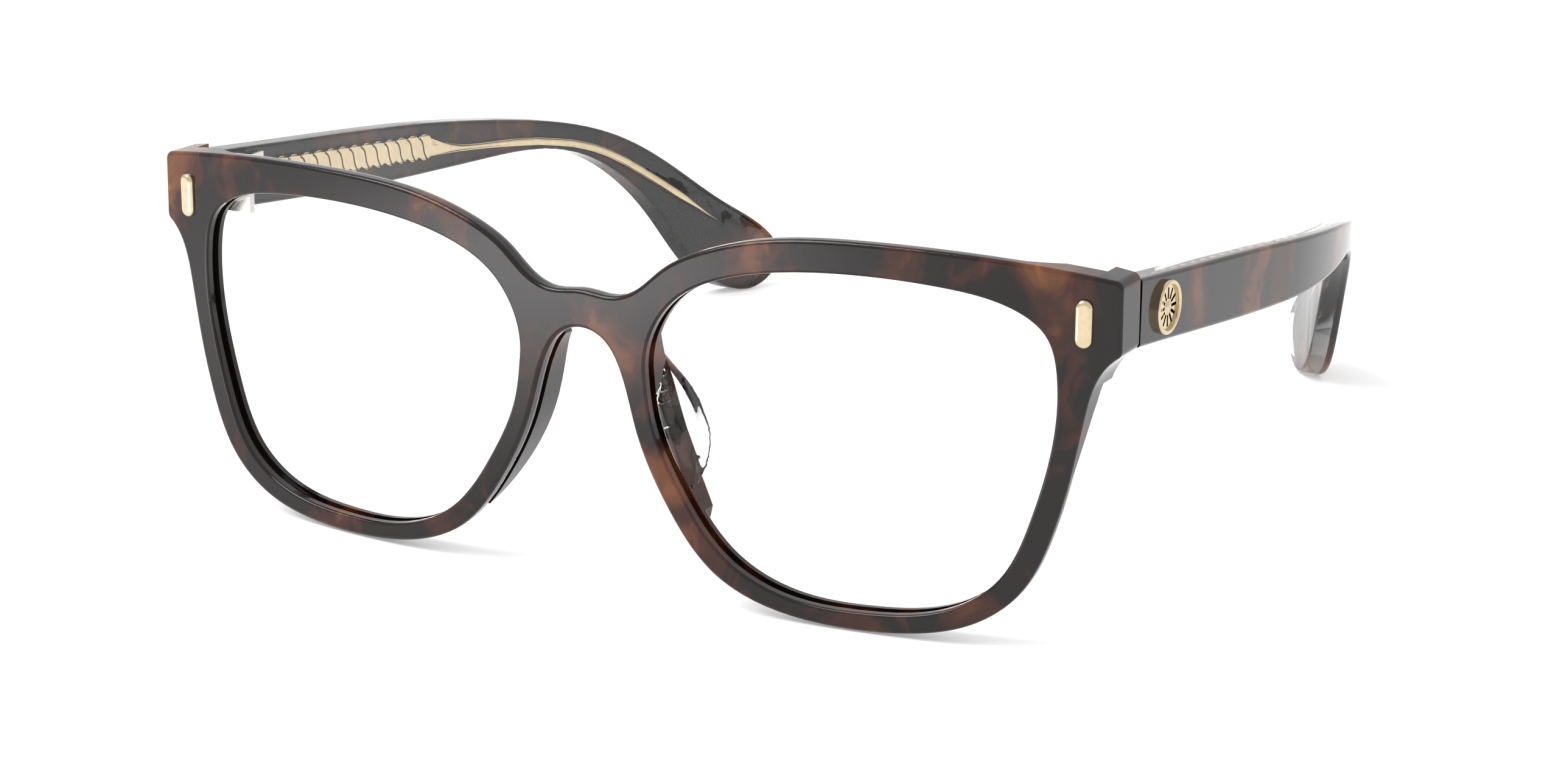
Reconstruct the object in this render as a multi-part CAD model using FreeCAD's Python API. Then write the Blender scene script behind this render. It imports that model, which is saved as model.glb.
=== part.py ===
# An eyeglasses frame: acetate front, two hinged laminated temples with wire cores, metal trims.
#
# Everything is first drawn in the plane of the front: X to the wearer's left, Y from the front
# towards the ears, Z up in the plane of the front, with X = 0 in the middle of the bridge and
# Y = 0 on the face of the bridge. At the end the whole frame is tipped a little so that it stands
# on its two rims and its two temple tips, and is moved so that its origin is on the ground under
# the middle of it. Millimetres and degrees.
import FreeCAD, Part
import math
import os

from FreeCAD import Vector

# ---------------------------------------------------------------- driving dimensions
HALF_WIDTH = 70.1          # from the middle of the bridge to the side of an end piece
FACE_RADIUS = 339.0        # curve of the front, seen from above
RIM_DEPTH = 3.6            # thickness of the front
LUG_END_Y = 12.7           # where the end piece stops and the temple begins
LUG_WALL = 3.4             # thickness of the end piece's side wall
FACE_EDGE_ROUND = 0.5      # rounding of the front's outer edge on its face
BACK_EDGE_ROUND = 2.2      # rounding of its outer edge on the wearer's side
EYE_EDGE_ROUND = 0.35      # rounding of the two openings' edges, on both sides
GROOVE_WIDTH = 1.3         # lens groove, along the depth of the rim
GROOVE_DEPTH = 0.7         # lens groove, into the rim
GROOVE_SETBACK = 1.2       # from the face to the front of the groove

SEAM_GAP = 0.3             # open line between the end piece and the temple
TEMPLE_START_Y = LUG_END_Y + SEAM_GAP
TEMPLE_OUTER_X = 70.0      # outer face of the temple at its front end
TEMPLE_SPLAY = 0.033       # outward run of the straight part, per millimetre of length
TEMPLE_BEND_Y = 60.0       # where the temple starts to curve in behind the head
TEMPLE_BEND_RADIUS = 128.0
TEMPLE_TURN_DEG = 41.0     # how far round that curve is drawn, past the tip
OUTER_LAYER = 1.1          # patterned acetate
INNER_LAYER = 2.4          # clear acetate
CORE_THICKNESS = 0.9       # wire core, inside the clear layer
CORE_COVER = 0.45          # clear acetate between the patterned layer and the core
TEMPLE_EDGE_ROUND = 0.5

CORE_START_Y = 16.5
CORE_TWIST_PITCH = 3.1     # one strand of the roped part of the core
CORE_TWIST_COUNT = 17
CORE_TWIST_HALF_HEIGHT = 2.05
CORE_NOTCH = 0.5          # depth of the notch between two strands
CORE_ROD_HALF_HEIGHT = 0.6
CORE_END_Y = 128.0

HINGE_X = 64.4             # hinge line, seen from above
HINGE_Y = 12.85
HINGE_Z = 12.3             # middle height of the hinge
KNUCKLE_RADIUS = 1.6
KNUCKLE_HEIGHT = 1.1
KNUCKLE_GAP = 0.06
SCREW_RADIUS = 0.65
SCREW_CLEARANCE = 0.05
SCREW_HEAD_RADIUS = 1.05
SCREW_HEAD_HEIGHT = 0.45
LEAF_HEIGHT = 4.6
LEAF_THICKNESS = 1.0
LEAF_SUNK = 0.5

PIN_X = 65.5               # capsule trim on the end piece
PIN_Z = 12.15
PIN_HEIGHT = 6.0
PIN_WIDTH = 2.2
PIN_PROUD = 0.7
PIN_SUNK = 0.8

BADGE_Y = 20.0             # round trim on the side of the temple
BADGE_Z = 11.75
BADGE_RADIUS = 3.35
BADGE_RING_WIDTH = 0.55
BADGE_PROUD = 0.75
BADGE_SUNK = 0.5
BADGE_SLOTS = 12

PAD_THICKNESS = 1.9
PAD_TOP_X = 5.8            # where the pad's slant starts, at Z = 0
PAD_SLANT_DEG = -21.5      # how far the pads lean apart towards the bottom

# ---------------------------------------------------------------- outlines
# One lens opening, clockwise from the nose, as (x, z).
EYE_OUTLINE = [
    (9.2, -0.8), (10.2, 5.0), (13.6, 9.6), (19.4, 12.7), (28.0, 14.6), (38.5, 15.25),
    (49.0, 14.75), (56.4, 13.2), (60.8, 10.2), (62.35, 5.0), (62.1, -3.0), (59.7, -13.0),
    (55.8, -21.3), (49.5, -25.7), (39.0, -27.5), (28.3, -26.8), (20.4, -23.1), (13.7, -14.6),
    (10.1, -6.8),
]
# Underside of the front from the foot of the end piece to the middle of the bridge.
UNDERSIDE = [
    (69.95, 8.45), (67.85, 6.45), (65.75, 0.15), (64.35, -7.35), (62.35, -14.9), (58.65, -22.6),
    (52.6, -27.35), (44.5, -29.5), (35.5, -29.9), (26.9, -28.9), (18.9, -25.45), (12.35, -17.7),
    (7.85, -8.35), (5.45, -0.45), (3.1, 3.0),
]
BRIDGE_BOTTOM_Z = 4.1
# Top of the front from the end piece to the middle of the bridge.
TOPSIDE = [
    (69.85, 17.45), (60.0, 18.6), (48.5, 19.25), (36.0, 19.3), (25.5, 18.4), (17.5, 16.25),
    (11.3, 12.95), (7.45, 9.75), (4.4, 8.75),
]
BRIDGE_TOP_Z = 9.05
LUG_CORNER_ROUND = 1.1
# Back of the block where an end piece grows out of the rim, seen from above, as (x, y).
LUG_ROOT_PLAN = [(53.5, 5.0), (56.0, 5.8), (58.9, 7.1), (61.8, 9.1)]
LUG_ROOT_SETBACK = 0.7     # the block starts this far behind the face
# The same block seen from the side, as (y, z).
LUG_ROOT_SIDE = [(7.0, -8.0), (10.6, 4.0), (10.6, 40.0), (0.0, 40.0), (0.0, -8.0)]
# Side view of a temple, as (y, z): top edge from front to back, tip, bottom edge back to front.
TEMPLE_TOP = [
    (13.0, 16.75), (35.0, 14.3), (56.0, 11.95), (74.6, 9.55), (90.0, 7.2), (102.0, 4.6),
    (111.0, 1.1), (120.0, -4.9), (129.0, -12.3), (135.6, -18.0),
]
TEMPLE_TIP = [(137.1, -21.0), (136.2, -24.9), (132.6, -27.3), (128.4, -26.2)]
TEMPLE_BOTTOM = [
    (121.4, -18.6), (116.4, -11.2), (110.6, -5.2), (104.0, -0.9), (95.6, 1.6), (82.0, 2.35),
    (67.0, 2.85), (50.0, 4.15), (30.0, 6.3), (13.0, 8.2),
]
# Middle line of the core behind its roped part, as (y, z).
CORE_LINE = [
    (76.0, 5.15), (88.0, 3.9), (98.0, 2.4), (106.0, 0.1), (114.0, -4.4), (122.0, -10.3),
    (CORE_END_Y, -15.2),
]
# Where the core's middle line runs in its roped part, at both ends.
CORE_FRONT_Z = 12.1
CORE_NECK_Z = 6.55
# Side view of a nose pad and of the thick part of the rim that carries it, as (y, z).
PAD_SIDE = [
    (3.0, 3.2), (5.2, 1.9), (6.7, -0.6), (7.75, -2.9), (8.35, -5.2), (8.5, -7.6), (8.35, -9.6),
    (7.8, -11.4), (6.8, -13.2), (5.1, -15.0), (3.0, -16.2),
]
PAD_BASE_SIDE = [(3.0, 4.5), (5.0, 1.6), (6.7, -3.0), (7.1, -9.0), (6.6, -15.0), (4.6, -20.5), (3.0, -22.5)]
# Bearing side of a nose pad, seen from above, as (x, y), from the rim backwards.
PAD_PLAN = [(5.7, 2.6), (6.3, 5.0), (7.4, 7.8), (9.2, 10.6), (10.4, 12.2)]


# ---------------------------------------------------------------- small helpers
def spline(points, closed=False):
    """A smooth curve through the points."""
    curve = Part.BSplineCurve()
    curve.interpolate(Points=points, PeriodicFlag=closed)
    return curve.toShape()


def prism_along_y(edges, y_from, y_to):
    """The outline's edges, drawn in XZ, pushed from y_from to y_to."""
    face = Part.Face(Part.Wire(edges))
    face.translate(Vector(0, y_from, 0))
    return face.extrude(Vector(0, y_to - y_from, 0))


def prism_along_x(edges, x_from, x_to):
    """The outline's edges, drawn in YZ, pushed from x_from to x_to."""
    face = Part.Face(Part.Wire(edges))
    face.translate(Vector(x_from, 0, 0))
    return face.extrude(Vector(x_to - x_from, 0, 0))


def prism_along_z(edges, z_from, z_to):
    """The outline's edges, drawn in XY, pushed from z_from to z_to."""
    face = Part.Face(Part.Wire(edges))
    face.translate(Vector(0, 0, z_from))
    return face.extrude(Vector(0, 0, z_to - z_from))


def box(x0, x1, y0, y1, z0, z1):
    """A box between two corners."""
    return Part.makeBox(x1 - x0, y1 - y0, z1 - z0, Vector(x0, y0, z0))


def cylinder(radius, height, base, direction):
    """A cylinder that starts at base and runs along direction."""
    return Part.makeCylinder(radius, height, base, direction)


def line(a, b):
    """A straight edge."""
    return Part.makeLine(a, b)


def arc(a, middle, b):
    """A circular arc through three points."""
    return Part.Arc(a, middle, b).toShape()


def solid_of(shape):
    """The one solid inside a shape, cleaned of split faces."""
    return shape.removeSplitter().Solids[0]


def mirrored(shape):
    """The same shape on the wearer's other side."""
    return shape.mirror(Vector(0, 0, 0), Vector(1, 0, 0))


# ---------------------------------------------------------------- front
def face_y(x):
    """Depth of the front's face at x."""
    return FACE_RADIUS - math.sqrt(FACE_RADIUS ** 2 - x * x)


def face_shell(setback, depth, height=60.0):
    """The slab between two curved faces that follow the face, setback behind it."""
    axis = Vector(0, FACE_RADIUS, -height / 2.0)
    outer = cylinder(FACE_RADIUS - setback, height, axis, Vector(0, 0, 1))
    inner = cylinder(FACE_RADIUS - setback - depth, height, axis, Vector(0, 0, 1))
    near = box(-80.0, 80.0, -5.0, 40.0, -height / 2.0, height / 2.0)
    return outer.cut(inner).common(near)


def front_outline():
    """The front's outer edge as four edges: underside, two short sides and top."""
    under = [Vector(x, 0, z) for x, z in UNDERSIDE]
    under.append(Vector(0, 0, BRIDGE_BOTTOM_Z))
    under += [Vector(-x, 0, z) for x, z in reversed(UNDERSIDE)]
    top = [Vector(x, 0, z) for x, z in TOPSIDE]
    top.append(Vector(0, 0, BRIDGE_TOP_Z))
    top += [Vector(-x, 0, z) for x, z in reversed(TOPSIDE)]
    return [spline(under), line(under[-1], top[-1]), spline(top), line(top[0], under[0])]


def eye_prism(grow, y_from, y_to):
    """One lens opening as a prism, made larger all round by grow."""
    points = [Vector(x, 0, z) for x, z in EYE_OUTLINE]
    curve = Part.BSplineCurve()
    curve.interpolate(Points=points, PeriodicFlag=True)
    if grow:
        first = curve.FirstParameter
        step = (curve.LastParameter - first) / (2 * len(points))
        wider = []
        for index in range(2 * len(points)):
            spot = curve.value(first + index * step)
            ahead = curve.tangent(first + index * step)[0]
            wider.append(spot + Vector(-ahead.z, 0, ahead.x) * grow)
        curve = Part.BSplineCurve()
        curve.interpolate(Points=wider, PeriodicFlag=True)
    return prism_along_y([curve.toShape()], y_from, y_to)


def front_plan():
    """The front seen from above: curved slab with an end piece that turns back on each side."""
    inner_x = HALF_WIDTH - LUG_WALL
    back_y = face_y(inner_x) + RIM_DEPTH
    side_y = face_y(HALF_WIDTH)
    corner_left = Vector(HALF_WIDTH, side_y, 0)
    corner_right = Vector(-HALF_WIDTH, side_y, 0)
    edges = [arc(corner_right, Vector(0, 0, 0), corner_left)]
    edges.append(line(corner_left, Vector(HALF_WIDTH, LUG_END_Y, 0)))
    edges.append(line(Vector(HALF_WIDTH, LUG_END_Y, 0), Vector(inner_x, LUG_END_Y, 0)))
    edges.append(line(Vector(inner_x, LUG_END_Y, 0), Vector(inner_x, back_y, 0)))
    edges.append(arc(Vector(inner_x, back_y, 0), Vector(0, RIM_DEPTH, 0), Vector(-inner_x, back_y, 0)))
    edges.append(line(Vector(-inner_x, back_y, 0), Vector(-inner_x, LUG_END_Y, 0)))
    edges.append(line(Vector(-inner_x, LUG_END_Y, 0), Vector(-HALF_WIDTH, LUG_END_Y, 0)))
    edges.append(line(Vector(-HALF_WIDTH, LUG_END_Y, 0), corner_right))
    return prism_along_z(edges, -40.0, 40.0)


def nose_side(points, x_from, x_to):
    """A side-view outline near the nose, pushed along X."""
    corners = [Vector(0, y, z) for y, z in points]
    edges = [spline(corners), line(corners[-1], corners[0])]
    return prism_along_x(edges, x_from, x_to)


def edges_on_curve(shape, setback, keep):
    """Edges that lie on the front's face moved back by setback, where keep says so."""
    found = []
    for edge in shape.Edges:
        first, last = edge.ParameterRange
        spots = [edge.valueAt(first + (last - first) * k / 4.0) for k in range(5)]
        off = max(abs(p.y - setback - face_y(p.x)) for p in spots)
        if off < 0.02 and keep(spots):
            found.append(edge)
    return found


def rounded(shape, edges, radius):
    """The shape with these edges rounded, or as it was if they can't be."""
    try:
        result = shape.makeFillet(radius, edges)
        if result.isValid() and abs(result.Volume) > 0.5 * shape.Volume:
            return result
    except Exception as problem:
        print("rounding left out:", radius, problem)
    return shape


def lug_root():
    """The full-depth block where an end piece grows out of the rim, before trimming."""
    start_x = LUG_ROOT_PLAN[0][0]
    end_x = HALF_WIDTH - LUG_WALL + 0.1
    flare = [Vector(x, y, 0) for x, y in LUG_ROOT_PLAN]
    outline = [Vector(end_x, face_y(end_x) + RIM_DEPTH - 0.1, 0)]
    outline += [Vector(x, face_y(x) + LUG_ROOT_SETBACK, 0) for x in (end_x, start_x)]
    ring = [flare[-1]] + outline + [flare[0]]
    plan = prism_along_z([spline(flare)] + [line(a, b) for a, b in zip(ring, ring[1:])], -40.0, 40.0)
    corners = [Vector(0, y, z) for y, z in LUG_ROOT_SIDE]
    side = [line(a, b) for a, b in zip(corners, corners[1:] + corners[:1])]
    return plan.common(prism_along_x(side, start_x - 1.0, end_x + 1.0))


def front_frame():
    """The acetate front with its end pieces, nose bases and lens grooves."""
    bulk = prism_along_y(front_outline(), -2.0, LUG_END_Y + 1.0)
    front = solid_of(bulk.common(front_plan()))
    corners = []
    for edge in front.Edges:
        ends = [v.Point for v in edge.Vertexes]
        along_y = len(ends) == 2 and abs(ends[0].y - ends[1].y) > 4.0
        if along_y and min(abs(p.x) for p in ends) > HALF_WIDTH - 0.6:
            corners.append(edge)
    front = rounded(front, corners, LUG_CORNER_ROUND)
    front = rounded(front, edges_on_curve(front, 0.0, lambda spots: True), FACE_EDGE_ROUND)
    long = lambda spots: all(abs(p.x) < HALF_WIDTH - LUG_WALL + 0.1 for p in spots) and abs(spots[0].x - spots[-1].x) > 3.0
    front = rounded(front, edges_on_curve(front, RIM_DEPTH, long), BACK_EDGE_ROUND)
    root = bulk.common(lug_root())
    front = solid_of(front.fuse([root, mirrored(root)]))
    eye = eye_prism(0.0, -3.0, 20.0)
    eyes = Part.makeCompound([eye, mirrored(eye)])
    front = solid_of(front.cut(eyes))
    inside = lambda spots: all(8.0 < abs(p.x) < 64.0 for p in spots)
    for depth in (0.0, RIM_DEPTH):
        front = rounded(front, edges_on_curve(front, depth, inside), EYE_EDGE_ROUND)
    base = solid_of(bulk.common(nose_side(PAD_BASE_SIDE, 4.0, 16.0)).cut(eyes))
    front = solid_of(front.fuse([base, mirrored(base)]))
    groove = eye_prism(GROOVE_DEPTH, -3.0, 20.0).common(face_shell(GROOVE_SETBACK, GROOVE_WIDTH))
    return solid_of(front.cut(Part.makeCompound([groove, mirrored(groove)])))


def nose_pad(front):
    """A clear leaf behind the nose side of the rim, standing back and outwards."""
    bearing = [Vector(x, y, 0) for x, y in PAD_PLAN]
    hidden = [Vector(x + PAD_THICKNESS, y - 0.5 * PAD_THICKNESS, 0) for x, y in PAD_PLAN]
    edges = [spline(bearing), line(bearing[-1], hidden[-1]), spline(hidden), line(hidden[0], bearing[0])]
    leaf = prism_along_z(edges, -30.0, 30.0)
    leaf.rotate(Vector(PAD_TOP_X, 0, 0), Vector(0, 1, 0), PAD_SLANT_DEG)
    leaf = leaf.common(nose_side(PAD_SIDE, 0.0, 30.0))
    pad = leaf.cut(front)
    return max(pad.Solids, key=lambda s: s.Volume)


def capsule(width, height, y_from, y_to):
    """An upright capsule outline pushed along Y, round at both ends."""
    r = width / 2.0
    h = height / 2.0 - r
    edges = [
        line(Vector(r, 0, -h), Vector(r, 0, h)), arc(Vector(r, 0, h), Vector(0, 0, h + r), Vector(-r, 0, h)),
        line(Vector(-r, 0, h), Vector(-r, 0, -h)), arc(Vector(-r, 0, -h), Vector(0, 0, -h - r), Vector(r, 0, -h)),
    ]
    return prism_along_y(edges, y_from, y_to)


def front_pin():
    """The domed capsule trim on the face of an end piece."""
    pin = capsule(PIN_WIDTH, PIN_HEIGHT, -PIN_PROUD, PIN_SUNK)
    top_edges = [e for e in pin.Edges if e.BoundBox.YMax < -PIN_PROUD + 0.01]
    pin = rounded(pin, top_edges, 0.6)
    pin.rotate(Vector(0, 0, 0), Vector(0, 0, 1), math.degrees(math.asin(PIN_X / FACE_RADIUS)))
    pin.translate(Vector(PIN_X, face_y(PIN_X), PIN_Z))
    return pin


# ---------------------------------------------------------------- hinge
def knuckle_z(index):
    """Bottom height of one of the five knuckles, counted from the lowest."""
    stack = 5 * KNUCKLE_HEIGHT + 4 * KNUCKLE_GAP
    return HINGE_Z - stack / 2.0 + index * (KNUCKLE_HEIGHT + KNUCKLE_GAP)


def knuckle(index, towards):
    """One knuckle, with the web that joins it to its leaf."""
    base = Vector(HINGE_X, HINGE_Y, knuckle_z(index))
    barrel = cylinder(KNUCKLE_RADIUS, KNUCKLE_HEIGHT, base, Vector(0, 0, 1))
    z0 = base.z
    z1 = base.z + KNUCKLE_HEIGHT
    if towards == "front":
        web = box(HINGE_X - KNUCKLE_RADIUS, HINGE_X + 0.6, front_leaf_y(), HINGE_Y, z0, z1)
    else:
        web = box(HINGE_X, temple_leaf_x() + 0.2, HINGE_Y, HINGE_Y + KNUCKLE_RADIUS + 1.6, z0, z1)
        hub = cylinder(KNUCKLE_RADIUS, KNUCKLE_HEIGHT, base, Vector(0, 0, 1))
        swing = cylinder(KNUCKLE_RADIUS + 0.45, KNUCKLE_HEIGHT, base, Vector(0, 0, 1))
        limit = box(HINGE_X, HINGE_X + 6.0, HINGE_Y - 3.0, HINGE_Y, z0, z1)
        web = web.cut(swing.common(limit)).fuse(hub)
    return barrel.fuse(web)


def front_leaf_y():
    """Back surface of the leaf on the front."""
    return face_y(HINGE_X) + RIM_DEPTH + LEAF_THICKNESS - LEAF_SUNK - 0.15


def temple_leaf_x():
    """Inward surface of the leaf on the temple."""
    return TEMPLE_OUTER_X - OUTER_LAYER - INNER_LAYER - LEAF_THICKNESS + LEAF_SUNK


def screw_bore(radius):
    """The hinge's bore from end to end."""
    return cylinder(radius, 12.0, Vector(HINGE_X, HINGE_Y, HINGE_Z - 6.0), Vector(0, 0, 1))


def hinge_top_z():
    """Upper end of the knuckles."""
    return knuckle_z(4) + KNUCKLE_HEIGHT


def screw_head_seat(gap):
    """The sunk seat of the screw head, in the top knuckle."""
    z = hinge_top_z() - SCREW_HEAD_HEIGHT + 0.15 - gap
    seat_base = Vector(HINGE_X, HINGE_Y, z)
    return cylinder(SCREW_HEAD_RADIUS + gap, SCREW_HEAD_HEIGHT + 1.0, seat_base, Vector(0, 0, 1))


def front_hinge_leaf():
    """Plate in the back of the end piece with two knuckles and two anchor pegs."""
    back = front_leaf_y()
    low = HINGE_Z - LEAF_HEIGHT / 2.0
    leaf = box(HINGE_X - 7.0, HINGE_X + 1.4, back - LEAF_THICKNESS, back, low, low + LEAF_HEIGHT)
    for x in (HINGE_X - 5.6, HINGE_X - 3.2):
        leaf = leaf.fuse(cylinder(0.6, 1.6, Vector(x, back - 0.5, HINGE_Z), Vector(0, -1, 0)))
    for index in (1, 3):
        leaf = leaf.fuse(knuckle(index, "front"))
    return solid_of(leaf.cut(screw_bore(SCREW_RADIUS + SCREW_CLEARANCE)))


def temple_hinge_leaf():
    """Plate in the inner side of the temple with three knuckles."""
    inward = temple_leaf_x()
    low = HINGE_Z - LEAF_HEIGHT / 2.0
    start = HINGE_Y + KNUCKLE_RADIUS
    leaf = box(inward, inward + LEAF_THICKNESS, start, start + 9.5, low - 0.2, low + LEAF_HEIGHT + 0.2)
    for index in (0, 2, 4):
        leaf = leaf.fuse(knuckle(index, "temple"))
    leaf = leaf.cut(screw_bore(SCREW_RADIUS))
    return solid_of(leaf.cut(screw_head_seat(0.0)))


def hinge_screw():
    """Slotted screw, fixed in the temple's knuckles and turning in the front's."""
    bottom = knuckle_z(0)
    length = hinge_top_z() - bottom - SCREW_HEAD_HEIGHT + 0.15
    screw = cylinder(SCREW_RADIUS, length, Vector(HINGE_X, HINGE_Y, bottom), Vector(0, 0, 1))
    head_z = bottom + length
    head = cylinder(SCREW_HEAD_RADIUS, SCREW_HEAD_HEIGHT, Vector(HINGE_X, HINGE_Y, head_z), Vector(0, 0, 1))
    slot_z = head_z + SCREW_HEAD_HEIGHT - 0.25
    slot = box(HINGE_X - 2.0, HINGE_X + 2.0, HINGE_Y - 0.17, HINGE_Y + 0.17, slot_z, slot_z + 1.0)
    return solid_of(screw.fuse(head).cut(slot))


# ---------------------------------------------------------------- temple
def temple_line(inset):
    """Plan line of the temple, inset from its outer face: straight run, then the curve behind the head."""
    slope = math.atan(TEMPLE_SPLAY)
    side = Vector(math.cos(slope), -math.sin(slope), 0)
    ahead = Vector(math.sin(slope), math.cos(slope), 0)
    outer_start = Vector(TEMPLE_OUTER_X, TEMPLE_START_Y, 0)
    bend = outer_start + ahead * ((TEMPLE_BEND_Y - TEMPLE_START_Y) / ahead.y)
    centre = bend - side * TEMPLE_BEND_RADIUS
    radius = TEMPLE_BEND_RADIUS - inset
    start = outer_start - side * inset - ahead * 3.0
    points = [start, bend - side * inset]
    for share in (0.5, 1.0):
        turn = math.radians(TEMPLE_TURN_DEG) * share
        points.append(centre + (side * math.cos(turn) + ahead * math.sin(turn)) * radius)
    return points


def temple_strip(inset_from, inset_to):
    """The upright slab between two insets from the temple's outer face."""
    a = temple_line(inset_from)
    b = temple_line(inset_to)
    edges = [
        line(a[0], a[1]), arc(a[1], a[2], a[3]), line(a[3], b[3]),
        arc(b[3], b[2], b[1]), line(b[1], b[0]), line(b[0], a[0]),
    ]
    return prism_along_z(edges, -40.0, 30.0)


def temple_profile():
    """The temple's side view, pushed along X."""
    top = [Vector(0, y, z) for y, z in TEMPLE_TOP + TEMPLE_TIP + TEMPLE_BOTTOM]
    edges = [spline(top), line(top[-1], top[0])]
    return prism_along_x(edges, 30.0, 80.0)


def core_middle_z(y):
    """Height of the core's middle in its roped part."""
    neck_y = CORE_START_Y + CORE_TWIST_PITCH * CORE_TWIST_COUNT
    return CORE_FRONT_Z + (CORE_NECK_Z - CORE_FRONT_Z) * (y - CORE_START_Y) / (neck_y - CORE_START_Y)


def core_outline():
    """The core's side view: lobed like a rope, then a neck, then a rod with a point."""
    edges = []
    top = []
    bottom = []
    for index in range(CORE_TWIST_COUNT):
        y0 = CORE_START_Y + CORE_TWIST_PITCH * index
        y1 = y0 + CORE_TWIST_PITCH
        middle = (y0 + y1) / 2.0
        notch = CORE_TWIST_HALF_HEIGHT - CORE_NOTCH
        for sign, row in ((1, top), (-1, bottom)):
            a = Vector(0, y0, core_middle_z(y0) + sign * notch)
            m = Vector(0, middle, core_middle_z(middle) + sign * CORE_TWIST_HALF_HEIGHT)
            b = Vector(0, y1, core_middle_z(y1) + sign * notch)
            row.append((a, m, b))
    for a, m, b in top:
        edges.append(arc(a, m, b))
    point = Vector(0, CORE_END_Y, CORE_LINE[-1][1])
    upper = [top[-1][2]]
    lower = [bottom[-1][2]]
    for y, z in CORE_LINE[:-1]:
        upper.append(Vector(0, y + 0.2, z + CORE_ROD_HALF_HEIGHT))
        lower.append(Vector(0, y - 0.2, z - CORE_ROD_HALF_HEIGHT))
    edges.append(spline(upper))
    edges.append(line(upper[-1], point))
    edges.append(line(point, lower[-1]))
    edges.append(spline(list(reversed(lower))))
    for a, m, b in reversed(bottom):
        edges.append(arc(b, m, a))
    edges.append(line(bottom[0][0], top[0][0]))
    return edges


def core_wire():
    """The metal core inside the clear layer."""
    inset = OUTER_LAYER + CORE_COVER
    return solid_of(prism_along_x(core_outline(), 30.0, 80.0).common(temple_strip(inset, inset + CORE_THICKNESS)))


def temple_layer(profile, inset_from, inset_to, round_inset):
    """One acetate layer of the temple, its long edges rounded on the side at round_inset."""
    layer = solid_of(profile.common(temple_strip(inset_from, inset_to)))
    layer = layer.common(box(0, 90, TEMPLE_START_Y, 200, -60, 60)).Solids[0]
    probe = temple_strip(round_inset - 0.02, round_inset + 0.02)
    edges = []
    for edge in layer.Edges:
        middle = edge.valueAt(sum(edge.ParameterRange) / 2.0)
        if edge.Length > 2.0 and probe.isInside(middle, 0.01, True) and middle.y > TEMPLE_START_Y + 1.0:
            edges.append(edge)
    return rounded(layer, edges, TEMPLE_EDGE_ROUND)


def badge_frame(shape):
    """Turns a part drawn flat, with its face towards +X, onto the temple's outer face."""
    slope = math.degrees(math.atan(TEMPLE_SPLAY))
    shape.rotate(Vector(0, 0, 0), Vector(0, 0, 1), -slope)
    x = TEMPLE_OUTER_X + TEMPLE_SPLAY * (BADGE_Y - TEMPLE_START_Y)
    shape.translate(Vector(x, BADGE_Y, BADGE_Z))
    return shape


def badge_ring():
    """The rim of the round trim."""
    base = Vector(-BADGE_SUNK, 0, 0)
    ring = cylinder(BADGE_RADIUS, BADGE_SUNK + BADGE_PROUD, base, Vector(1, 0, 0))
    ring = ring.cut(cylinder(BADGE_RADIUS - BADGE_RING_WIDTH, 5.0, Vector(-2, 0, 0), Vector(1, 0, 0)))
    top = [e for e in ring.Edges if e.BoundBox.XMin > BADGE_PROUD - 0.01]
    return badge_frame(rounded(ring, top, 0.2))


def badge_disc():
    """The pierced sunburst inside the ring."""
    radius = BADGE_RADIUS - BADGE_RING_WIDTH
    thickness = BADGE_SUNK + 0.35
    disc = cylinder(radius, thickness, Vector(-BADGE_SUNK, 0, 0), Vector(1, 0, 0))
    for index in range(BADGE_SLOTS):
        slot = box(-2.0, 3.0, -0.2, 0.2, 1.0, radius - 0.35)
        slot.rotate(Vector(0, 0, 0), Vector(1, 0, 0), 360.0 * index / BADGE_SLOTS)
        disc = disc.cut(slot)
    boss = Part.makeSphere(1.3, Vector(0.35 - 1.0, 0, 0)).common(box(-BADGE_SUNK, 3, -3, 3, -3, 3))
    return badge_frame(solid_of(disc.fuse(boss)))


# ---------------------------------------------------------------- assembly
def one_side(front):
    """Every piece of the wearer's left side that has a twin on the right."""
    pieces = {"nose_pad": nose_pad(front), "front_pin": front_pin(), "front_hinge_leaf": front_hinge_leaf()}
    pieces["temple_hinge_leaf"] = temple_hinge_leaf()
    pieces["hinge_screw"] = hinge_screw()
    total = OUTER_LAYER + INNER_LAYER
    profile = temple_profile()
    outer = temple_layer(profile, 0.0, OUTER_LAYER, 0.0)
    inner = temple_layer(profile, OUTER_LAYER, total, total)
    pieces["core_wire"] = core_wire()
    pieces["badge_ring"] = badge_ring()
    pieces["badge_disc"] = badge_disc()
    pocket = badge_frame(cylinder(BADGE_RADIUS, 3.0, Vector(-BADGE_SUNK, 0, 0), Vector(1, 0, 0)))
    pieces["temple_outer"] = solid_of(outer.cut(pocket))
    pieces["temple_inner"] = solid_of(inner.cut(pieces["core_wire"]).cut(pieces["temple_hinge_leaf"]))
    return pieces


def stance():
    """How far the frame tips about X so that rims and temple tips stand level, in degrees."""
    rim_x, rim_z = min(UNDERSIDE, key=lambda point: point[1])
    rim_y = face_y(rim_x) + RIM_DEPTH - BACK_EDGE_ROUND
    tip_y, tip_z = min(TEMPLE_TIP, key=lambda point: point[1])
    return -math.degrees(math.atan2(tip_z - rim_z, tip_y - rim_y))


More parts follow.
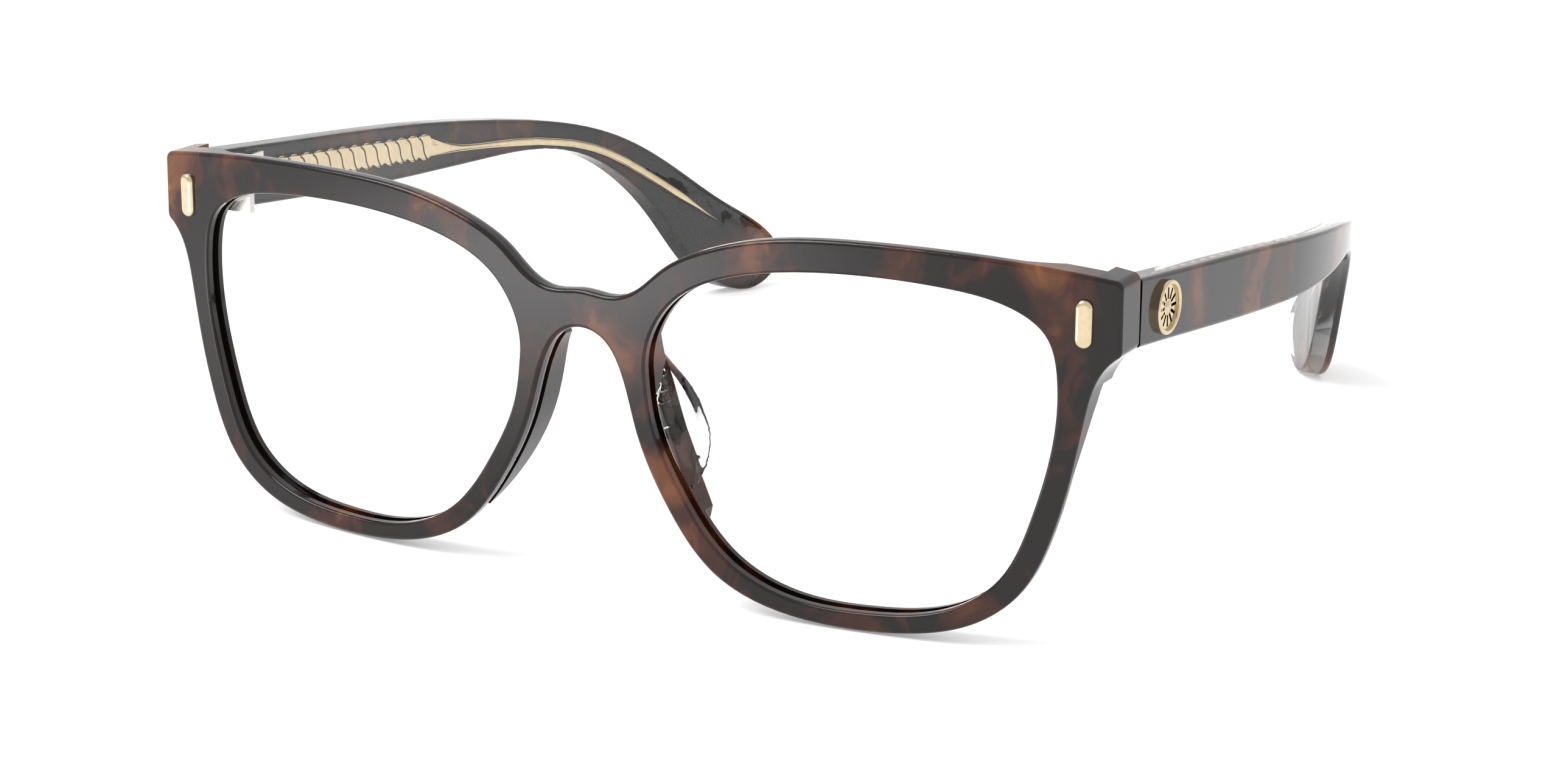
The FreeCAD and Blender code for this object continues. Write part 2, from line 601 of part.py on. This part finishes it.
def build():
    """All pieces by name, standing on the ground."""
    front = front_frame()
    pieces = {}
    for name, shape in one_side(front).items():
        pieces[name + "_left"] = shape
        pieces[name + "_right"] = mirrored(shape)
        if name in ("front_pin", "front_hinge_leaf"):
            front = front.cut(shape).cut(mirrored(shape))
    pieces["front_frame"] = solid_of(front)
    tip = stance()
    for shape in pieces.values():
        shape.rotate(Vector(0, 0, 0), Vector(1, 0, 0), tip)
    whole = Part.makeCompound(list(pieces.values())).optimalBoundingBox()
    shift = Vector(0, -(whole.YMin + whole.YMax) / 2.0, -whole.ZMin)
    for shape in pieces.values():
        shape.translate(shift)
    turn = FreeCAD.Rotation(Vector(1, 0, 0), tip)
    spot = turn.multVec(Vector(HINGE_X, HINGE_Y, HINGE_Z)) + shift
    line_up = turn.multVec(Vector(0, 0, 1))
    print("tipped by", round(tip, 4), "shift", [round(v, 4) for v in shift])
    print("hinge at", [round(v, 4) for v in spot], "along", [round(v, 5) for v in line_up])
    print("size", [round(v, 3) for v in (whole.XLength, whole.YLength, whole.ZLength)])
    return pieces


os.makedirs("parts", exist_ok=True)
for node, solid in sorted(build().items()):
    solid.exportStep("parts/" + node + ".step")
    print(node, "solids", len(solid.Solids), "valid", solid.isValid(), "volume", round(solid.Volume, 2))
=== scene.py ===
# %% [markdown]
# # A tortoiseshell eyeglasses frame
#
# The frame arrives as a packed engineering model: a front, two folding temples, hinges, metal
# trims. This notebook gives it its looks. Everything is in metres. The frame stands on the ground
# at Z = 0, X points to the wearer's left and Y from the front towards the ears.
#
# The first cell loads the imported frame, bakes each piece's place into its mesh and removes the empties.

# %% Load the frame
import math

import bmesh
import bpy
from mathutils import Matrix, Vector
from mathutils.bvhtree import BVHTree


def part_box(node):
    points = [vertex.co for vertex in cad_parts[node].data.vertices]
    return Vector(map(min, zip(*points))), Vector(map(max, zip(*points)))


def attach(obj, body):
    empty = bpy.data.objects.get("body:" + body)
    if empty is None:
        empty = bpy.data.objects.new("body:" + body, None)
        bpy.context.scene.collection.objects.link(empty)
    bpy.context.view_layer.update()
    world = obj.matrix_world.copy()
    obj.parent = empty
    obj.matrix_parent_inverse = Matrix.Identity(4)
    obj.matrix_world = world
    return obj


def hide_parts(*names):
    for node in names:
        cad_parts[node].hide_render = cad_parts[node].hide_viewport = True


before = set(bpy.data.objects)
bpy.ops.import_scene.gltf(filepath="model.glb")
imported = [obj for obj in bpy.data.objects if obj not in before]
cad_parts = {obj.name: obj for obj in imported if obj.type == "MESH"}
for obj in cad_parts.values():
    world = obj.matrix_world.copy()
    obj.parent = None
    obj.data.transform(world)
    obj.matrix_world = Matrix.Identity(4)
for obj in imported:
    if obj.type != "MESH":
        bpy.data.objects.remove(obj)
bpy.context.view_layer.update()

# %% [markdown]
# ## Two sides
#
# Most of an eyeglasses frame comes in mirrored pairs. The wearer's left side is at positive X. A
# small table of signs and two helpers keep sides and bodies straight, so that each pair is made in
# one loop and neither side can be forgotten.

# %% Sides and bodies
SIDES = {"left": 1.0, "right": -1.0}
MM = 0.001


def node(name):
    """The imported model's object of this name."""
    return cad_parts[name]


def temple_body(side):
    """The body that a side's temple pieces ride on."""
    return side + "_temple"


hinge_low, hinge_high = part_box("hinge_screw_left")
print("hinge line at x = %.1f mm" % (0.5 * (hinge_low.x + hinge_high.x) / MM))

# %% [markdown]
# ## Materials
#
# A material is a small net of nodes, and the same few steps come again in each: make it, add a node
# with its inputs set, send a value through a colour ramp. These helpers do those steps. All
# patterns read object coordinates, because each mesh already holds its place in the frame.

# %% Node helpers


def new_material(name):
    """An empty node material with its principled shader."""
    material = bpy.data.materials.new(name)
    material.use_nodes = True
    shader = material.node_tree.nodes["Principled BSDF"]
    return material, material.node_tree, shader


def add(tree, kind, **inputs):
    """A node with some of its inputs set; an underscore in a name stands for a space."""
    made = tree.nodes.new(kind)
    for key, value in inputs.items():
        made.inputs[key.replace("_", " ")].default_value = value
    return made


def ramp(tree, source, stops):
    """A colour ramp fed from source, with stops as (place, colour)."""
    made = tree.nodes.new("ShaderNodeValToRGB")
    made.color_ramp.interpolation = "EASE"
    while len(made.color_ramp.elements) < len(stops):
        made.color_ramp.elements.new(0.5)
    for element, (place, colour) in zip(made.color_ramp.elements, stops):
        element.position = place
        element.color = (*colour, 1.0)
    tree.links.new(source, made.inputs["Fac"])
    return made.outputs["Color"]


print("node helpers ready")

# %% [markdown]
# ## Tortoiseshell
#
# Tortoiseshell acetate is cut from a block in which amber and near-black chips were pressed
# together. The chips smear into each other, so the pattern has soft, drawn-out islands. A picture
# of the pattern would need unwrapping and would show its seams on a cut edge. A solid pattern runs
# through the whole sheet, as in the real one: a broad noise says where amber can show at all, a
# finer one frays the islands' edges, and a stretched mapping draws them out.

# %% Tortoiseshell
ISLAND_SCALE = 62.0
FRAY_SCALE = 150.0
FRAY_SHARE = 0.45
SHELL_ROUGHNESS = 0.09
SHELL_IOR = 1.41
SHELL_COLOURS = [
    (0.0, (0.0030, 0.0022, 0.0020)),
    (0.49, (0.0055, 0.0031, 0.0025)),
    (0.56, (0.034, 0.0085, 0.0042)),
    (0.63, (0.105, 0.033, 0.0105)),
    (0.73, (0.30, 0.115, 0.032)),
]


def tortoiseshell(name, offset, stretch):
    """Polished dark acetate with amber islands."""
    material, tree, shader = new_material(name)
    place = tree.nodes.new("ShaderNodeTexCoord")
    mapping = add(tree, "ShaderNodeMapping", Location=offset, Scale=stretch)
    tree.links.new(place.outputs["Object"], mapping.inputs["Vector"])
    broad = add(tree, "ShaderNodeTexNoise", Scale=ISLAND_SCALE, Detail=1.0, Roughness=0.4, Distortion=0.3)
    fine = add(tree, "ShaderNodeTexNoise", Scale=FRAY_SCALE, Detail=3.0, Roughness=0.55, Distortion=0.8)
    for texture in (broad, fine):
        tree.links.new(mapping.outputs["Vector"], texture.inputs["Vector"])
    blend = add(tree, "ShaderNodeMix", Factor=FRAY_SHARE)
    tree.links.new(broad.outputs["Fac"], blend.inputs["A"])
    tree.links.new(fine.outputs["Fac"], blend.inputs["B"])
    tree.links.new(ramp(tree, blend.outputs["Result"], SHELL_COLOURS), shader.inputs["Base Color"])
    shader.inputs["Roughness"].default_value = SHELL_ROUGHNESS
    shader.inputs["IOR"].default_value = SHELL_IOR
    return material


front_shell = tortoiseshell("front_tortoiseshell", (0.0, 0.0, 0.0), (1.0, 0.5, 0.8))
temple_shell = tortoiseshell("temple_tortoiseshell", (0.31, 0.12, 0.2), (0.6, 0.9, 0.8))
print("tortoiseshell materials:", front_shell.name, temple_shell.name)

# %% [markdown]
# ## Clear acetate
#
# The inner layer of the temples and the nose pads are water-clear acetate. A surface that only
# looks pale would hide the metal core, so the shader really lets light through and bends it. The
# faint, uneven grey of a cast sheet comes from a broad noise in the colour.

# %% Clear acetate
HAZE_SCALE = 90.0
CLEAR_ROUGHNESS = 0.02
CLEAR_IOR = 1.47
HAZE_COLOURS = [(0.3, (0.93, 0.93, 0.925)), (0.7, (0.97, 0.97, 0.965))]


def clear_acetate(name):
    """Water-clear polished acetate."""
    material, tree, shader = new_material(name)
    place = tree.nodes.new("ShaderNodeTexCoord")
    haze = add(tree, "ShaderNodeTexNoise", Scale=HAZE_SCALE, Detail=1.0, Roughness=0.5)
    tree.links.new(place.outputs["Object"], haze.inputs["Vector"])
    tree.links.new(ramp(tree, haze.outputs["Fac"], HAZE_COLOURS), shader.inputs["Base Color"])
    shader.inputs["Transmission Weight"].default_value = 1.0
    shader.inputs["Roughness"].default_value = CLEAR_ROUGHNESS
    shader.inputs["IOR"].default_value = CLEAR_IOR
    return material


crystal = clear_acetate("clear_acetate")
print("clear material:", crystal.name)

# %% [markdown]
# ## Metals
#
# The trims and the core are pale gold plate, the hinges are plain nickel. Plated metal is polished,
# yet never perfectly even. One fine noise moves both the roughness and the brightness a little,
# which keeps small parts from looking like flat paint.

# %% Metals
WORN_SHARE = 0.92


def plated(name, colour, rough_low, rough_high, grain):
    """Plated metal with a slightly uneven polish."""
    material, tree, shader = new_material(name)
    place = tree.nodes.new("ShaderNodeTexCoord")
    uneven = add(tree, "ShaderNodeTexNoise", Scale=grain, Detail=2.0, Roughness=0.6)
    tree.links.new(place.outputs["Object"], uneven.inputs["Vector"])
    spread = tree.nodes.new("ShaderNodeMapRange")
    spread.inputs["To Min"].default_value = rough_low
    spread.inputs["To Max"].default_value = rough_high
    tree.links.new(uneven.outputs["Fac"], spread.inputs["Value"])
    tree.links.new(spread.outputs["Result"], shader.inputs["Roughness"])
    worn = tuple(WORN_SHARE * channel for channel in colour)
    tree.links.new(ramp(tree, uneven.outputs["Fac"], [(0.35, worn), (0.65, colour)]), shader.inputs["Base Color"])
    shader.inputs["Metallic"].default_value = 1.0
    return material


gilt = plated("pale_gold", (0.62, 0.51, 0.335), 0.08, 0.18, 900.0)
nickel = plated("hinge_nickel", (0.62, 0.60, 0.57), 0.22, 0.38, 1400.0)
print("metals:", gilt.name, nickel.name)

# %% [markdown]
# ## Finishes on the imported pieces
#
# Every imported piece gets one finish. The table goes by kind of piece, without its side, so both
# sides always match.

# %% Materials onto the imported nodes
FINISH = {
    "front_frame": front_shell,
    "temple_outer": temple_shell,
    "temple_inner": crystal,
    "nose_pad": crystal,
    "front_pin": gilt,
    "core_wire": gilt,
    "badge_ring": gilt,
    "badge_disc": gilt,
    "front_hinge_leaf": nickel,
    "temple_hinge_leaf": nickel,
    "hinge_screw": nickel,
}


def give(name, material):
    """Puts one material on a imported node."""
    slots = node(name).data.materials
    slots.clear()
    slots.append(material)


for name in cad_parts:
    kind = name.replace("_left", "").replace("_right", "")
    give(name, FINISH[kind])
print("materials given to", len(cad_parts), "nodes")

# %% [markdown]
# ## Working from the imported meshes
#
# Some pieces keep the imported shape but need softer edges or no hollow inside. They start as a
# merged copy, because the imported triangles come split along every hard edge. A finished piece is
# smooth-shaded, with its real edges marked sharp, and rides on a body so that it moves with it.

# %% Merged copies and finished pieces
MERGE = 0.002 * MM


def merged_copy(name):
    """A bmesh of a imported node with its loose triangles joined."""
    mesh = bmesh.new()
    mesh.from_mesh(node(name).data)
    bmesh.ops.remove_doubles(mesh, verts=mesh.verts, dist=MERGE)
    return mesh


def finish_piece(mesh, name, material, body, sharp_deg=40.0):
    """Turns a bmesh into a smooth-shaded piece that rides on a body."""
    data = bpy.data.meshes.new(name)
    for face in mesh.faces:
        face.smooth = True
    for edge in mesh.edges:
        if len(edge.link_faces) == 2 and edge.calc_face_angle(0.0) > math.radians(sharp_deg):
            edge.smooth = False
    mesh.to_mesh(data)
    mesh.free()
    data.materials.append(material)
    piece = bpy.data.objects.new(name, data)
    bpy.context.scene.collection.objects.link(piece)
    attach(piece, body)
    return piece


def other_side(mesh):
    """The same shape on the wearer's right."""
    turned = mesh.copy()
    bmesh.ops.scale(turned, vec=(-1.0, 1.0, 1.0), verts=turned.verts)
    bmesh.ops.reverse_faces(turned, faces=turned.faces)
    return turned


print("points closer than %.3f mm are joined" % (MERGE / MM))

# %% [markdown]
# ## Closed skins
#
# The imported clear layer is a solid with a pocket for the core, so its mesh holds more than one
# closed skin: the outside, and the pocket's wall. Walking from point to point along edges finds
# each skin in turn, and the outside is the one with the most points.

# %% Skins of a mesh


def skins(mesh):
    """The separate closed skins of a bmesh, as lists of vertices, largest first."""
    waiting = set(mesh.verts)
    found = []
    while waiting:
        skin = [waiting.pop()]
        for vert in skin:
            for edge in vert.link_edges:
                other = edge.other_vert(vert)
                if other in waiting:
                    waiting.discard(other)
                    skin.append(other)
        found.append(skin)
    return sorted(found, key=len, reverse=True)


sample = merged_copy("temple_inner_left")
print("skins in the clear layer:", [len(skin) for skin in skins(sample)])
sample.free()

# %% [markdown]
# ## The clear layer of each temple
#
# Light that crosses a pocket wall bends twice, and the core would look as if it lay in air. In the
# real temple the acetate is bonded to the metal and to the patterned layer. So this copy loses its
# pocket, and its outer face reaches a hair into the patterned layer, where the two were two
# surfaces in one place. The facets of the long curve stay unsmoothed, because smoothing across
# such thin triangles makes dark stains in clear material.

# %% Clear layers
BOND = 0.08 * MM
TOUCH = 0.06 * MM
OUTWARD = 0.3
FACET_DEG = 12.0

for side, sign in SIDES.items():
    source = "temple_inner_" + side
    skin = merged_copy(source)
    parts = skins(skin)
    pocket = [vert for part in parts[1:] for vert in part]
    bmesh.ops.delete(skin, geom=pocket, context="VERTS")
    skin.normal_update()
    patterned = merged_copy("temple_outer_" + side)
    reach = BVHTree.FromBMesh(patterned)
    outward = [face for face in skin.faces if face.normal.x * sign > OUTWARD]
    bonded = {v for face in outward for v in face.verts if reach.find_nearest(v.co)[3] < TOUCH}
    bmesh.ops.translate(skin, verts=list(bonded), vec=(sign * BOND, 0.0, 0.0))
    patterned.free()
    layer = finish_piece(skin, "clear_layer_" + side, crystal, temple_body(side), FACET_DEG)
    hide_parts(source)
    print(side, "clear layer:", len(layer.data.vertices), "points, pockets removed:", len(parts) - 1)

# %% [markdown]
# ## The metal core: where it runs
#
# The core is a flat strip, stamped so that its front part looks like a twisted rope, and drawn out
# to a plain rod behind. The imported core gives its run, its width and its notches. A plane across it
# at one station shows the middle and the half sizes there. The stations lie close together along
# the rope, twenty to a strand, and wider apart along the rod.

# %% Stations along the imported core
STRAND_PITCH = 3.1 * MM
STRAND_COUNT = 17
STRAND_STEPS = 20
ROD_STEP = 0.9 * MM
FRONT_SETBACK = 0.02 * MM
POINT_SETBACK = 0.03 * MM

packed_core = merged_copy("core_wire_left")
core_low, core_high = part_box("core_wire_left")


def core_section(y):
    """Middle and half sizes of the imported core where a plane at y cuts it."""
    everything = packed_core.verts[:] + packed_core.edges[:] + packed_core.faces[:]
    cut = bmesh.ops.bisect_plane(packed_core, geom=everything, plane_co=(0.0, y, 0.0), plane_no=(0.0, 1.0, 0.0))
    spots = [part.co for part in cut["geom_cut"] if isinstance(part, bmesh.types.BMVert)]
    xs, zs = [spot.x for spot in spots], [spot.z for spot in spots]
    middle = Vector((0.5 * (min(xs) + max(xs)), y, 0.5 * (min(zs) + max(zs))))
    return middle, 0.5 * (max(xs) - min(xs)), 0.5 * (max(zs) - min(zs))


rope_start = core_low.y + FRONT_SETBACK
rope_end = rope_start + STRAND_PITCH * STRAND_COUNT
rope_stations = [rope_start + STRAND_PITCH * step / STRAND_STEPS for step in range(STRAND_COUNT * STRAND_STEPS)]
rod_count = int((core_high.y - rope_end) / ROD_STEP)
rod_end = core_high.y - POINT_SETBACK
rod_stations = [rope_end + (rod_end - rope_end) * step / rod_count for step in range(rod_count + 1)]
sections = [(y, *core_section(y)) for y in rope_stations + rod_stations]
packed_core.free()
print("core: %d stations, %.1f mm long" % (len(sections), (core_high.y - core_low.y) / MM))

# %% [markdown]
# ## The metal core: its stamped lines
#
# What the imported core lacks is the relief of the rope: the curved lines where one strand dives under
# the next. They show only from the wearer's side. Each line leans back from top to bottom with a
# slight S, and the surface is pressed in along it by a rounded groove.

# %% Ring of the core at a station
RING_ROWS = 20
RELIEF_DEPTH = 0.16 * MM
RELIEF_WIDTH = 0.17 * MM
STRAND_LEAN = 0.75
STRAND_SWAY = 0.09
RELIEF_END = rope_end + 0.3 * STRAND_PITCH


def strand_relief(y, height):
    """How deep the stamped line runs here; height goes from -1 at the bottom to 1 at the top."""
    if y > RELIEF_END:
        return 0.0
    down = 0.5 * (1.0 - height)
    lean = STRAND_LEAN * down + STRAND_SWAY * math.sin(2.0 * math.pi * down)
    along = (y - rope_start) / STRAND_PITCH - lean
    gap = abs(along - round(along)) * STRAND_PITCH
    return RELIEF_DEPTH * math.exp(-((gap / RELIEF_WIDTH) ** 2))


def ring_places(y, middle, half_x, half_z, boxy):
    """Points round the core at one station: down the wearer's side, up the outer side."""
    places = []
    for row in range(2 * RING_ROWS):
        height = 1.0 - 2.0 * row / RING_ROWS if row <= RING_ROWS else -3.0 + 2.0 * row / RING_ROWS
        swell = (1.0 - abs(height) ** boxy) ** (1.0 / boxy)
        inward = row <= RING_ROWS
        depth = half_x * swell - (strand_relief(y, height) if inward else 0.0) * swell
        places.append(middle + Vector((-depth if inward else depth, 0.0, half_z * height)))
    return places


print("relief %.2f mm deep on %d points a ring" % (RELIEF_DEPTH / MM, 2 * RING_ROWS))

# %% [markdown]
# ## The metal core: the loft
#
# A closed circle of points is extruded from station to station, and each new ring is set to its
# places. That keeps the quads running along the strip, so the stamped lines stay clean. The ring is
# nearly a box along the broad rope and nearly round along the rod: the half height decides.

# %% Loft the core
ROUND_POWER = 2.4
BOX_POWER_GAIN = 5.6
ROD_HALF_MM = 0.6
BOX_SPAN_MM = 0.8


def ring_edges(loop):
    """The core's edges that join two points of one ring."""
    return [edge for edge in core.edges if edge.verts[0] in loop and edge.verts[1] in loop]


core = bmesh.new()
first_ring = bmesh.ops.create_circle(core, cap_ends=True, cap_tris=False, segments=2 * RING_ROWS, radius=MM)
ring = list(first_ring["verts"])
loop = set(ring)
for index, (y, middle, half_x, half_z) in enumerate(sections):
    if index:
        grown = bmesh.ops.extrude_edge_only(core, edges=ring_edges(loop))
        fresh = {part for part in grown["geom"] if isinstance(part, bmesh.types.BMVert)}
        ring = [next(e.other_vert(v) for e in v.link_edges if e.other_vert(v) in fresh) for v in ring]
        loop = set(ring)
    boxy = ROUND_POWER + BOX_POWER_GAIN * min(1.0, max(0.0, (half_z / MM - ROD_HALF_MM) / BOX_SPAN_MM))
    for vert, place in zip(ring, ring_places(y, middle, half_x, half_z, boxy)):
        vert.co = place
bmesh.ops.contextual_create(core, geom=ring_edges(loop))
bmesh.ops.recalc_face_normals(core, faces=core.faces)
print("core mesh:", len(core.faces), "faces")

# %% [markdown]
# ## The metal core: one for each temple
#
# The left core is the loft itself. The right one is its mirror image, because the strands of the
# two temples lean towards each other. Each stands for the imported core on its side.

# %% Cores on both temples
CORE_SHARP_DEG = 60.0

for side in SIDES:
    shape = core.copy() if side == "left" else other_side(core)
    piece = finish_piece(shape, "rope_core_" + side, gilt, temple_body(side), CORE_SHARP_DEG)
    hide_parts("core_wire_" + side)
    print(side, "core:", len(piece.data.vertices), "points")
core.free()

# %% [markdown]
# ## Nose pads
#
# The pads are clear acetate leaves, filed and tumbled until no edge is left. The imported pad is
# remade on a fine even grid and smoothed, which rounds it the way tumbling does. Its root first
# moves a little into the rim, so that the glue line doesn't open. Bevels would need clean edge
# loops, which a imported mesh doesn't have.

# %% Rounded pads
PAD_ROOT = 0.6 * MM
PAD_TOUCH = 0.03 * MM
PAD_GRID = 0.14 * MM
TUMBLING_STRENGTH = 0.6
TUMBLING_TURNS = 14

front_skin = merged_copy("front_frame")
front_reach = BVHTree.FromBMesh(front_skin)
front_skin.free()
for side in SIDES:
    source = "nose_pad_" + side
    pad = merged_copy(source)
    bonded = [vert for vert in pad.verts if front_reach.find_nearest(vert.co)[3] < PAD_TOUCH]
    bmesh.ops.translate(pad, verts=bonded, vec=(0.0, -PAD_ROOT, 0.0))
    piece = finish_piece(pad, "tumbled_pad_" + side, crystal, "front")
    remesh = piece.modifiers.new("fine_grid", "REMESH")
    remesh.mode = "VOXEL"
    remesh.voxel_size = PAD_GRID
    remesh.use_smooth_shade = True
    tumbling = piece.modifiers.new("tumbling", "SMOOTH")
    tumbling.factor = TUMBLING_STRENGTH
    tumbling.iterations = TUMBLING_TURNS
    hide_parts(source)
    print(side, "pad: bonded points", len(bonded))

# %% [markdown]
# ## Camera
#
# The frame is seen from the wearer's left front and a little from above, with a long lens as in a
# catalogue. The place is worked out from two angles and a distance, so that either can be changed
# without the frame leaving the picture.

# %% Camera
VIEW_AZIMUTH = math.radians(28.17)
VIEW_ELEVATION = math.radians(17.51)
VIEW_DISTANCE = 0.4158
LENS = 78.45
CLIP_START = 0.01

low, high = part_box("front_frame")
aim = Vector((0.0291, low.y, 0.0301))
back = Vector((
    math.sin(VIEW_AZIMUTH) * math.cos(VIEW_ELEVATION),
    -math.cos(VIEW_AZIMUTH) * math.cos(VIEW_ELEVATION),
    math.sin(VIEW_ELEVATION),
))
camera_data = bpy.data.cameras.new("camera")
camera_data.lens = LENS
camera_data.clip_start = CLIP_START
camera = bpy.data.objects.new("camera", camera_data)
camera.location = aim + back * VIEW_DISTANCE
camera.rotation_euler = (-back).to_track_quat("-Z", "Y").to_euler()
bpy.context.scene.collection.objects.link(camera)
bpy.context.scene.camera = camera
print("camera at", [round(value, 3) for value in camera.location])

# %% [markdown]
# ## Floor
#
# A pale, matt floor, wide enough to fill the picture. It glows a little by itself, which lifts the
# shadow under the frame the way a lit table does. It lies a hair below the ground, so that it
# doesn't touch the rims.

# %% Floor
FLOOR_HALF = 3.0
FLOOR_DROP = 0.2 * MM
FLOOR_WHITE = 0.88
FLOOR_ROUGHNESS = 0.9
FLOOR_GLOW = 0.22

floor_mesh = bmesh.new()
bmesh.ops.create_grid(floor_mesh, x_segments=1, y_segments=1, size=FLOOR_HALF)
floor_data = bpy.data.meshes.new("floor")
floor_mesh.to_mesh(floor_data)
floor_mesh.free()
floor = bpy.data.objects.new("floor", floor_data)
bpy.context.scene.collection.objects.link(floor)
floor.location.z = -FLOOR_DROP
floor_material, floor_tree, floor_shader = new_material("pale_floor")
floor_shader.inputs["Base Color"].default_value = (FLOOR_WHITE, FLOOR_WHITE, FLOOR_WHITE, 1.0)
floor_shader.inputs["Roughness"].default_value = FLOOR_ROUGHNESS
floor_shader.inputs["Specular IOR Level"].default_value = 0.0
floor_shader.inputs["Emission Color"].default_value = (1.0, 1.0, 1.0, 1.0)
floor_shader.inputs["Emission Strength"].default_value = FLOOR_GLOW
floor_data.materials.append(floor_material)
print("floor: %.0f m square" % (2.0 * FLOOR_HALF))

# %% [markdown]
# ## Surroundings
#
# Polished acetate is dark by itself and shows mostly what it mirrors. White surroundings on all
# sides give it even, soft reflections, and the plain view transform keeps white at white.

# %% Surroundings
world = bpy.data.worlds.new("studio")
bpy.context.scene.world = world
world.use_nodes = True
world.node_tree.nodes["Background"].inputs["Color"].default_value = (1.0, 1.0, 1.0, 1.0)
world.node_tree.nodes["Background"].inputs["Strength"].default_value = 1.0
bpy.context.scene.view_settings.view_transform = "Standard"
print("view transform:", bpy.context.scene.view_settings.view_transform)

# %% [markdown]
# ## Lights
#
# Two lamps. A large soft one high on the wearer's right models the round parts. A narrow one lights
# a patch of floor before the front: the front mirrors that patch, and it becomes the long grey
# sheen beside the bridge. Neither is seen through the clear acetate, where a small bright lamp
# would only make sparks.

# %% Lights
KEY_PLACE = (-0.5, -0.5, 0.9)
KEY_TARGET = (0.0, 0.0, 0.02)
KEY_SIZE = 0.6
KEY_WATTS = 8.0
POOL_PLACE = (-0.10, -0.28, 0.45)
POOL_TARGET = (-0.10, -0.22, 0.0)
POOL_WATTS = 34.0
POOL_ANGLE = math.radians(25.0)
POOL_BLEND = 0.8
POOL_LAMP_RADIUS = 0.05


def lamp(name, kind, watts, place, target):
    """A lamp of some kind that faces its target."""
    data = bpy.data.lights.new(name, kind)
    data.energy = watts
    made = bpy.data.objects.new(name, data)
    made.location = place
    made.rotation_euler = (Vector(target) - Vector(place)).to_track_quat("-Z", "Y").to_euler()
    made.visible_transmission = False
    bpy.context.scene.collection.objects.link(made)
    return data


key = lamp("key", "AREA", KEY_WATTS, KEY_PLACE, KEY_TARGET)
key.size = KEY_SIZE
pool = lamp("pool", "SPOT", POOL_WATTS, POOL_PLACE, POOL_TARGET)
pool.spot_size = POOL_ANGLE
pool.spot_blend = POOL_BLEND
pool.shadow_soft_size = POOL_LAMP_RADIUS
print("lamps:", key.name, pool.name)
